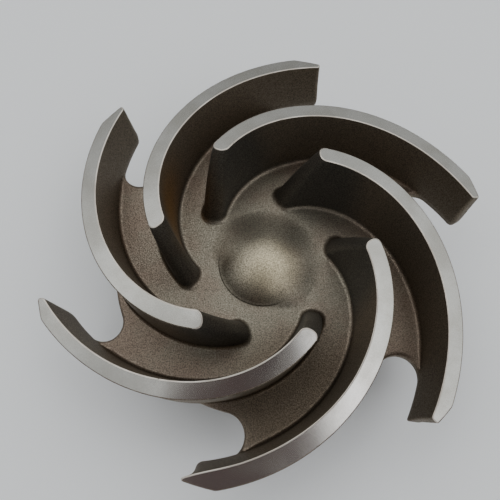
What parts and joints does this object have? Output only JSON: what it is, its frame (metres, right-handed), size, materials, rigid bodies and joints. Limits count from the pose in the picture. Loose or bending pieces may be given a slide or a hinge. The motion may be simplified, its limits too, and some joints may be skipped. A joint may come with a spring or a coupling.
{
  "type": "semi-open centrifugal pump impeller",
  "caption": "Cast semi-open pump impeller with backward-curved vanes, a scalloped shroud, a closed domed nose and a screwed hub.",
  "frame": {"origin": "on the shaft axis, in the plane of the hub's end face", "axes": "+Z along the shaft axis towards the suction side"},
  "size_m": [0.2015, 0.1999, 0.0788],
  "materials": {
    "cast_stainless": "sand-cast stainless steel, blasted and left as cast in the passages, with turned and dressed vane edges"
  },
  "bodies": {
    "root": {"impeller_casting": "cast_stainless"}
  },
  "joints": []
}
